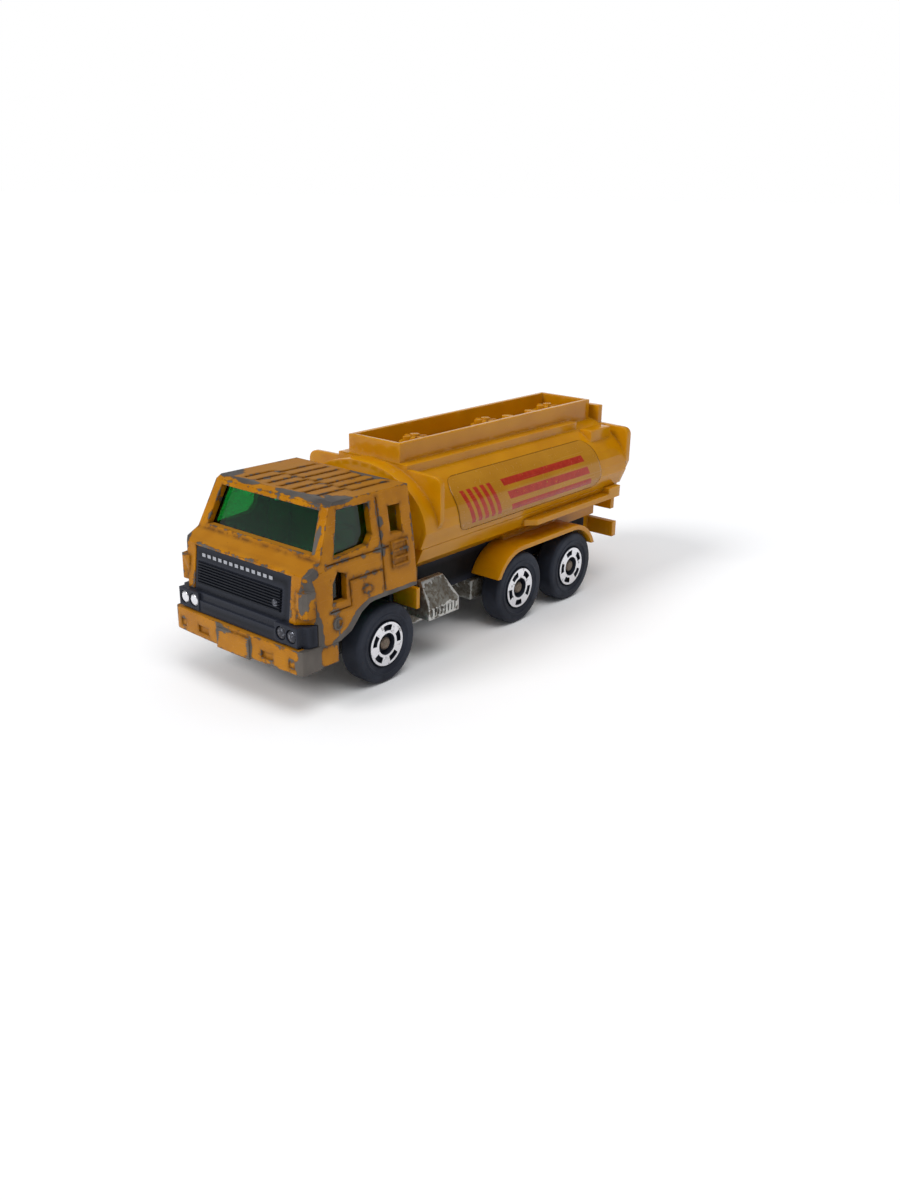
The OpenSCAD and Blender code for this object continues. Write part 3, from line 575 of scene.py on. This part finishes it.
def slotted_ring_tree():
    """A flat ring about X with evenly spaced windows, as a sheet that is thickened later."""
    columns, rows = 120, 16
    tree, nodes, given, sink = geometry_tree("slotted_ring", [
        ("Centre", "Vector", (0, 0, 0)), ("Inner", "Float", 0.0015), ("Outer", "Float", 0.003),
        ("Windows", "Int", 5), ("Window Share", "Float", 0.36), ("Low", "Float", 0.38),
        ("High", "Float", 0.76), ("Turn", "Float", 0.0), ("Material", "Material", None)])
    grid = nodes.add("GeometryNodeMeshGrid")
    for label, value in (("Size X", 1.0), ("Size Y", 1.0), ("Vertices X", columns + 1),
                         ("Vertices Y", rows + 1)):
        grid.inputs[label].default_value = value
    split = nodes.add("ShaderNodeSeparateXYZ")
    nodes.feed(split.inputs[0], nodes.add("GeometryNodeInputPosition").outputs[0])
    round_share = nodes.math("ADD", split.outputs["X"], 0.5)
    rise = nodes.math("ADD", split.outputs["Y"], 0.5)

    phase = nodes.math("FRACT", nodes.math("MULTIPLY", round_share, given["Windows"]))
    off_centre = nodes.math("ABSOLUTE", nodes.math("SUBTRACT", phase, 0.5))
    narrow = nodes.math("LESS_THAN", off_centre, nodes.math("MULTIPLY", given["Window Share"], 0.5))
    above = nodes.math("GREATER_THAN", rise, given["Low"])
    below = nodes.math("LESS_THAN", rise, given["High"])
    window = nodes.math("MULTIPLY", narrow, nodes.math("MULTIPLY", above, below))
    cut = nodes.add("GeometryNodeDeleteGeometry", domain="FACE")
    nodes.feed(cut.inputs["Geometry"], grid.outputs["Mesh"])
    nodes.feed(cut.inputs["Selection"], window)

    half_pitch = nodes.math("DIVIDE", math.pi, given["Windows"])
    angle = nodes.math("MULTIPLY", round_share, math.tau)
    angle = nodes.math("ADD", nodes.math("SUBTRACT", angle, half_pitch), given["Turn"])
    span = nodes.math("SUBTRACT", given["Outer"], given["Inner"])
    radius = nodes.math("ADD", given["Inner"], nodes.math("MULTIPLY", rise, span))
    join = nodes.add("ShaderNodeCombineXYZ")
    nodes.feed(join.inputs["Y"], nodes.math("MULTIPLY", radius, nodes.math("SINE", angle)))
    nodes.feed(join.inputs["Z"], nodes.math("MULTIPLY", radius, nodes.math("COSINE", angle)))
    shift = nodes.add("ShaderNodeVectorMath", operation="ADD")
    nodes.feed(shift.inputs[0], join.outputs[0])
    nodes.feed(shift.inputs[1], given["Centre"])
    wrap = nodes.add("GeometryNodeSetPosition")
    nodes.feed(wrap.inputs["Geometry"], cut.outputs["Geometry"])
    nodes.feed(wrap.inputs["Position"], shift.outputs[0])
    weld = nodes.add("GeometryNodeMergeByDistance")
    weld.inputs["Distance"].default_value = 0.001 * MM
    nodes.feed(weld.inputs["Geometry"], wrap.outputs["Geometry"])
    end_tree(nodes, weld.outputs["Geometry"], given, sink)
    return tree


def grown(tree, name, **values):
    """Runs a geometry tree and returns its result as a plain mesh."""
    seed = bpy.data.objects.new(name, bpy.data.meshes.new(name))
    bpy.context.scene.collection.objects.link(seed)
    modifier = seed.modifiers.new(name, "NODES")
    modifier.node_group = tree
    sockets = {s.name: s.identifier for s in tree.interface.items_tree if s.in_out == "INPUT"}
    for label, value in values.items():
        modifier[sockets[label.replace("_", " ").title()]] = value
    bpy.context.view_layer.update()
    evaluated = seed.evaluated_get(bpy.context.evaluated_depsgraph_get())
    mesh = bpy.data.meshes.new_from_object(evaluated)
    mesh.name = name
    seed.modifiers.clear()
    bpy.data.objects.remove(seed)
    return mesh


def rounded(piece, width, segments=2):
    """Rounds a piece's edges with a bevel."""
    bevel = piece.modifiers.new("rounding", "BEVEL")
    bevel.width = width
    bevel.segments = segments
    bevel.limit_method = "ANGLE"
    bevel.harden_normals = False
    return piece


# ------------------------------------------------------------------ materials

CAB_PAINT = cab_paint()
YELLOW = yellow_plastic()
BLACK = black_plastic("black_plastic", srgb(4, 6, 10), srgb(8, 10, 15), 0.22)
FRAME_BLACK = black_plastic("frame_black", srgb(12, 12, 14), srgb(20, 20, 22), 0.45)
WHEEL_BLACK = black_plastic("wheel_plastic", srgb(38, 41, 50), srgb(48, 52, 62), 0.4)
ZINC = bare_zinc()
AXLE_STEEL = tarnished_steel("axle_steel", srgb(92, 80, 70), srgb(126, 114, 102))
RIVET_STEEL = tarnished_steel("rivet_steel", srgb(112, 108, 100), srgb(150, 146, 138))
SPRING_STEEL = tarnished_steel("spring_steel", srgb(96, 98, 104), srgb(128, 130, 136))
GLAZING = green_glazing()
FOIL = rim_foil()
MARK_SILVER = lamp_silver("mark_silver", srgb(40, 42, 50), srgb(168, 170, 176), 0.72)
LAMP_BRIGHT = lamp_silver("lamp_bright", srgb(60, 62, 70), srgb(226, 226, 230), 0.66)
LAMP_WORN = lamp_silver("lamp_worn", srgb(34, 36, 46), srgb(120, 122, 130), 0.42)
LABEL = label_film()

BAR_ROW = bar_row_tree()
SLOTTED_RING = slotted_ring_tree()


# ------------------------------------------------------------------ cab

def cab_wear():
    """Places where the cab's paint is knocked off, as (centre, radii) in millimetres."""
    places = [
        ((12.5, -35.8, 7.6), (1.0, 1.9, 2.2)),      # left end of the bumper
        ((12.5, -34.2, 10.4), (0.5, 0.8, 2.4)),     # edge above it
        ((7.4, -29.4, 26.5), (3.4, 0.7, 0.45)),     # roof's front edge
        ((9.6, -28.2, 26.6), (1.6, 1.8, 0.5)),
        ((3.4, -29.6, 26.5), (2.2, 0.5, 0.5)),
        ((-9.9, -28.0, 26.5), (1.4, 1.5, 0.5)),
        ((-5.2, -29.6, 26.5), (1.8, 0.5, 0.5)),
        ((11.9, -34.4, 18.6), (0.7, 0.9, 0.55)),    # brow corner
        ((11.8, -35.0, 17.1), (0.5, 0.5, 0.6)),
        ((12.1, -35.4, 16.1), (0.6, 0.7, 0.35)),    # corner pod
        ((11.5, -36.0, 15.0), (0.4, 0.5, 0.9)),
        ((11.4, -21.9, 22.6), (0.5, 0.35, 0.5)),    # door pillar
        ((11.5, -22.0, 20.9), (0.5, 0.3, 0.35)),
        ((10.3, -31.9, 22.2), (0.3, 0.9, 1.8)),     # windscreen pillar
        ((-12.5, -35.8, 8.2), (0.9, 1.2, 1.2)),     # right end of the bumper
        ((-11.8, -34.8, 18.2), (0.7, 0.8, 0.8)),
        ((-12.2, -24.0, 13.0), (0.6, 3.0, 0.5)),
        ((4.0, -16.3, 26.4), (3.0, 0.5, 0.4)),
        ((-2.2, -37.7, 8.9), (1.4, 0.3, 0.2)),      # plate's upper edge
    ]
    arch_lip = [(-31.0, 9.1), (-29.1, 9.9), (-28.2, 10.8), (-27.2, 11.9), (-25.7, 12.7),
                (-24.8, 12.85), (-16.4, 12.85)]
    for (y, z), (next_y, next_z) in zip(arch_lip, arch_lip[1:]):
        count = round(math.hypot(next_y - y, next_z - z) / 0.5)
        places += [((12.5, y + (next_y - y) * i / count, z + (next_z - z) * i / count),
                    (0.8, 0.7, 0.42)) for i in range(count)]
    for x in (-3.2, 3.2):
        places.append(((x, -37.7, 7.9 - 0.1 * x), (0.26, 0.4, 1.2)))
    return places


def make_cab():
    """The painted cab casting."""
    mesh = softened("cab_casting", "cab", 0.8 * MM, worn=cab_wear())
    show("cab", mesh, CAB_PAINT, "chassis", ("cab_casting",))


def make_grille():
    """The grille insert, its slats, a row of plain silver dashes and a round stud."""
    mesh = softened("grille_insert", "grille", 0.5 * MM, soften=0.03 * MM)
    show("grille", mesh, BLACK, "chassis", ("grille_insert",))
    pitch, lean = 0.375, 0.121
    slats = grown(BAR_ROW, "grille_slats", count=8, first=mm(-0.55, -36.06, 13.36),
                  step=mm(0, lean * pitch, pitch), size=mm(16.2, 0.3, 0.17), material=BLACK)
    # A set edge value lightens the slats all over, as a painted highlight on them.
    store(slats, "edge", [0.4] * len(slats.vertices))
    rounded(show("grille_slats", slats, BLACK, "chassis"), 0.04 * MM)
    marks = grown(BAR_ROW, "grille_marks", count=13, first=mm(-7.7, -35.53, 17.15),
                  step=mm(1.1, 0, 0), size=mm(0.66, 0.1, 0.5), material=MARK_SILVER)
    rounded(show("grille_marks", marks, MARK_SILVER, "chassis"), 0.03 * MM)
    stud = lathed([(0.5 * MM, -0.1 * MM), (0.5 * MM, 0.12 * MM), (0.36 * MM, 0.2 * MM)],
                  Vector(), 1, "grille_stud", 32)
    stud.transform(Matrix.Translation(mm(6.6, -35.95, 14.2)) @ Matrix.Rotation(-math.pi / 2, 4, "Z"))
    show("grille_stud", stud, LAMP_WORN, "chassis")


def make_lamps():
    """Two round lamps on each side: silver on the right, rubbed dull on the left."""
    profile = [(0.78 * MM, -0.3 * MM), (0.78 * MM, 0.0)]
    profile += [(0.74 * MM * math.cos(a), 0.2 * MM * math.sin(a)) for a in np.radians(range(0, 81, 16))]
    for side_name, material in (("left", LAMP_WORN), ("right", LAMP_BRIGHT)):
        for number, x in enumerate((8.6, 10.5)):
            name = f"lamp_{side_name}_{number + 1}"
            mesh = lathed(profile, Vector(), 1, name, 32)
            place = Matrix.Translation(mm(SIDES[side_name] * x, -36.9, 11.0))
            mesh.transform(place @ Matrix.Rotation(-math.pi / 2, 4, "Z"))
            show(name, mesh, material, "chassis")


# ------------------------------------------------------------------ tank, bed, base

def make_body():
    """The tank, the bed, the base and the frame, with softened edges."""
    for node, name, material, slot, spacing in (
            ("tank_shell", "tank", YELLOW, "yellow_plastic", 1.5 * MM),
            ("tank_bed", "bed", YELLOW, "yellow_plastic", 1.2 * MM),
            ("chassis_base", "base", ZINC, "bare_zinc", 1.0 * MM),
            ("frame_rails", "frame", FRAME_BLACK, "black_plastic", 1.0 * MM)):
        show(name, softened(node, name, spacing), material, "chassis", (node,))


def make_rear_webs():
    """Webs that carry the bed's tail behind the last axle, over the frame's end."""
    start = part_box("axle_rear")[1].y / MM - 0.6
    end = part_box("tank_bed")[1].y / MM - 3.0
    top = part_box("frame_rails")[1].z / MM
    for side_name, side in SIDES.items():
        web = grown(BAR_ROW, f"rear_web_{side_name}", count=1, step=mm(0, 0, 1),
                    first=mm(side * 7.66, (start + end) / 2, top - 0.35),
                    size=mm(1.15, end - start, 2.3), material=YELLOW)
        rounded(show(f"rear_web_{side_name}", web, YELLOW, "chassis"), 0.1 * MM)


def make_label(side_name):
    """A film that follows the barrel, with rounded corners and plain stripes."""
    side = SIDES[side_name]
    node = "side_label_" + side_name
    low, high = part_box(node)
    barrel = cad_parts["tank_shell"]
    tree = BVHTree.FromPolygons([v.co for v in barrel.data.vertices],
                                [p.vertices[:] for p in barrel.data.polygons])
    columns, rows = 110, 34
    proud = 0.05 * MM
    corner = 2.2 * MM
    z_low, z_high = low.z + 0.2 * MM, low.z + 7.4 * MM
    bm = bmesh.new()
    along, up, rim_gap = (bm.verts.layers.float.new(n) for n in ("along", "up", "rim_gap"))
    grid = []
    for r in range(rows + 1):
        z = z_low + (z_high - z_low) * r / rows
        from_edge = min(z - z_low, z_high - z)
        lack = max(0.0, corner - from_edge)
        inset = corner - math.sqrt(max(0.0, corner ** 2 - lack ** 2))
        y_low, y_high = low.y + inset, high.y - inset
        line = []
        for c in range(columns + 1):
            y = y_low + (y_high - y_low) * c / columns
            hit, normal, _, _ = tree.ray_cast(Vector((side * 30 * MM, y, z)), Vector((-side, 0, 0)))
            vert = bm.verts.new(hit + normal * proud)
            vert[along] = (y - low.y) / MM
            vert[up] = (z - z_low) / MM
            vert[rim_gap] = min(y - y_low, y_high - y, from_edge) / MM
            line.append(vert)
        grid.append(line)
    for r in range(rows):
        for c in range(columns):
            quad = (grid[r][c], grid[r][c + 1], grid[r + 1][c + 1], grid[r + 1][c])
            bm.faces.new(quad if side > 0 else quad[::-1])
    mesh = mesh_from(bm, "label_" + side_name, 30)
    label = show("label_" + side_name, mesh, LABEL, "chassis", (node,))
    thicken = label.modifiers.new("film", "SOLIDIFY")
    thicken.thickness = 0.04 * MM
    thicken.offset = 1.0


# ------------------------------------------------------------------ running gear

def wheel_profile(wheel_r, width, ring_r, hub_r, bore_r):
    """Half section of a wheel, from its bore at the back round the tread to its bore in front."""
    shoulder = 0.55 * MM
    groove = 0.3 * MM
    back = [(bore_r, -width), (wheel_r - shoulder, -width)]

    def round_shoulder(out, degrees):
        return [(wheel_r - shoulder + shoulder * math.cos(a), out + shoulder * math.sin(a))
                for a in np.radians(degrees)]

    round_back = round_shoulder(shoulder - width, np.arange(-75, 1, 15))
    round_front = round_shoulder(-shoulder, np.arange(0, 76, 15))
    wall = [(wheel_r - shoulder, 0), (wheel_r - 1.25 * MM, 0.0), (wheel_r - 1.35 * MM, 0.09 * MM),
            (wheel_r - 1.55 * MM, 0.09 * MM), (wheel_r - 1.65 * MM, -0.02 * MM)]
    slot_floor, hub_floor = -0.55 * MM, -0.95 * MM
    trough = [(ring_r + groove + 0.5 * MM, -0.04 * MM), (ring_r + groove, -0.18 * MM),
              (ring_r + 0.04 * MM, -0.5 * MM), (ring_r, -FOIL_DEPTH), (ring_r - 0.34 * MM, -FOIL_DEPTH),
              (ring_r - 0.40 * MM, slot_floor), (hub_r + 0.56 * MM, slot_floor),
              (hub_r + 0.50 * MM, -FOIL_DEPTH), (hub_r + 0.06 * MM, -FOIL_DEPTH),
              (hub_r, -0.16 * MM), (hub_r, hub_floor), (bore_r, hub_floor)]
    return back + round_back + round_front + wall + trough


def make_wheel(place, side_name):
    """A tyre turned about its axle, and the slotted foil ring on its face."""
    side = SIDES[side_name]
    node = f"wheel_{place}_{side_name}"
    low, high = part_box(node)
    centre = (low + high) / 2
    centre.x = high.x if side > 0 else low.x
    wheel_r = (high.z - low.z) / 2
    ring_r = 0.555 * wheel_r
    hub_r = 1.5 * MM
    bore_r = 0.65 * MM
    profile = wheel_profile(wheel_r, high.x - low.x, ring_r, hub_r, bore_r)
    body = f"{place}_{side_name}_wheel"
    mesh = lathed(profile, centre, side, f"tyre_{place}_{side_name}")
    store(mesh, "edge", [0.0] * len(mesh.vertices))
    show(f"tyre_{place}_{side_name}", mesh, WHEEL_BLACK, body, (node,))
    ring = grown(SLOTTED_RING, f"foil_{place}_{side_name}",
                 centre=centre - Vector((side * FOIL_DEPTH, 0, 0)), inner=hub_r + 0.02 * MM,
                 outer=ring_r, low=0.24, high=0.78, window_share=0.5,
                 turn=math.radians(SLOT_TURNS[place]) * side, material=FOIL)
    foil = show(f"foil_{place}_{side_name}", ring, FOIL, body)
    thicken = foil.modifiers.new("foil", "SOLIDIFY")
    thicken.thickness = FOIL_DEPTH
    thicken.offset = side
    rounded(foil, 0.03 * MM, 1)


def make_spring(place):
    """A bowed strip with softened edges, given a mesh of its own."""
    node = "spring_" + place
    mesh = softened(node, "leaf_" + place, 0.6 * MM, soften=0.03 * MM)
    leaf = show("leaf_" + place, mesh, SPRING_STEEL, "chassis", (node,))
    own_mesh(leaf)


def make_running_gear():
    """The wheels, foils and springs, and the finish of the CAD's own axles, rivets and glazing."""
    for place in SLOT_TURNS:
        for side_name in SIDES:
            make_wheel(place, side_name)
        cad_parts["axle_" + place].data.materials[0] = AXLE_STEEL
        make_spring(place)
    for node, material in (("rivets", RIVET_STEEL), ("glazing", GLAZING)):
        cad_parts[node].data.materials[0] = material


# ------------------------------------------------------------------ floor, light, camera

def make_floor():
    """A pale floor that fills the view and keeps the truck's shadow."""
    bm = bmesh.new()
    bmesh.ops.create_circle(bm, cap_ends=True, segments=64, radius=FLOOR_RADIUS)
    floor = bpy.data.objects.new("floor", mesh_from(bm, "floor", 30))
    bpy.context.scene.collection.objects.link(floor)
    material, nodes, shader = new_material("floor")
    rays = nodes.add("ShaderNodeLightPath").outputs
    seen = nodes.math("MAXIMUM", rays["Is Camera Ray"],
                      nodes.math("MAXIMUM", rays["Is Glossy Ray"], rays["Is Transmission Ray"]))
    nodes.feed(shader.inputs["Base Color"], nodes.mix(seen, (0.85, 0.85, 0.85, 1), (1.0, 1.0, 1.0, 1)))
    shader.inputs["Roughness"].default_value = 0.9
    shader.inputs["Specular IOR Level"].default_value = 0.0
    floor.data.materials.append(material)


def make_world():
    """A grey dome, white where it is seen, and at the horizon where it is mirrored."""
    world = bpy.data.worlds.new("studio")
    world.use_nodes = True
    bpy.context.scene.world = world
    nodes = Nodes(world.node_tree)
    background = world.node_tree.nodes["Background"]
    rays = nodes.add("ShaderNodeLightPath").outputs
    seen = nodes.math("MAXIMUM", rays["Is Camera Ray"], rays["Is Transmission Ray"])
    split = nodes.add("ShaderNodeSeparateXYZ")
    nodes.feed(split.inputs[0], nodes.add("ShaderNodeTexCoord").outputs["Generated"])
    low = nodes.math("SUBTRACT", 1.0, nodes.step(split.outputs["Z"], 0.15, 0.35))
    mirrored = nodes.math("MULTIPLY", rays["Is Glossy Ray"], low)
    dome = nodes.mix(nodes.step(split.outputs["Z"], 0.1, 0.9),
                     (0.22, 0.23, 0.25, 1), (0.56, 0.57, 0.59, 1))
    dome = nodes.mix(rays["Is Glossy Ray"], dome, (0.12, 0.125, 0.14, 1))
    nodes.feed(background.inputs["Color"],
               nodes.mix(nodes.math("MAXIMUM", seen, mirrored), dome, (1, 1, 1, 1)))


def make_sun(name, towards, strength, spread):
    data = bpy.data.lights.new(name, "SUN")
    data.energy = strength
    data.angle = math.radians(spread)
    sun = bpy.data.objects.new(name, data)
    sun.rotation_euler = Vector(towards).to_track_quat("-Z", "Y").to_euler()
    bpy.context.scene.collection.objects.link(sun)


def make_camera():
    """A camera ahead of the truck's left side and above it."""
    turn, tilt, roll = math.radians(39.818), math.radians(20.684), 0.01527
    back = Vector((math.sin(turn) * math.cos(tilt), -math.cos(turn) * math.cos(tilt), math.sin(tilt)))
    level = Vector((0, 0, 1)).cross(back).normalized()
    up = back.cross(level)
    right = math.cos(roll) * level + math.sin(roll) * up
    top = math.cos(roll) * up - math.sin(roll) * level
    data = bpy.data.cameras.new("camera")
    data.lens = 33.01
    data.clip_start = 1 * MM
    camera = bpy.data.objects.new("camera", data)
    camera.matrix_world = Matrix.Translation(mm(105.257, -120.306, 63.246)) @ Matrix(
        (right, top, back)).transposed().to_4x4()
    bpy.context.scene.collection.objects.link(camera)
    bpy.context.scene.camera = camera


bpy.context.scene.view_settings.view_transform = "Standard"
make_floor()
make_world()
make_sun("key", (0.25, 0.75, -0.62), 1.4, 22)
make_sun("top", (-0.35, 0.1, -1.0), 1.0, 36)
make_camera()
make_cab()
make_grille()
make_lamps()
make_body()
make_rear_webs()
for side in SIDES:
    make_label(side)
make_running_gear()
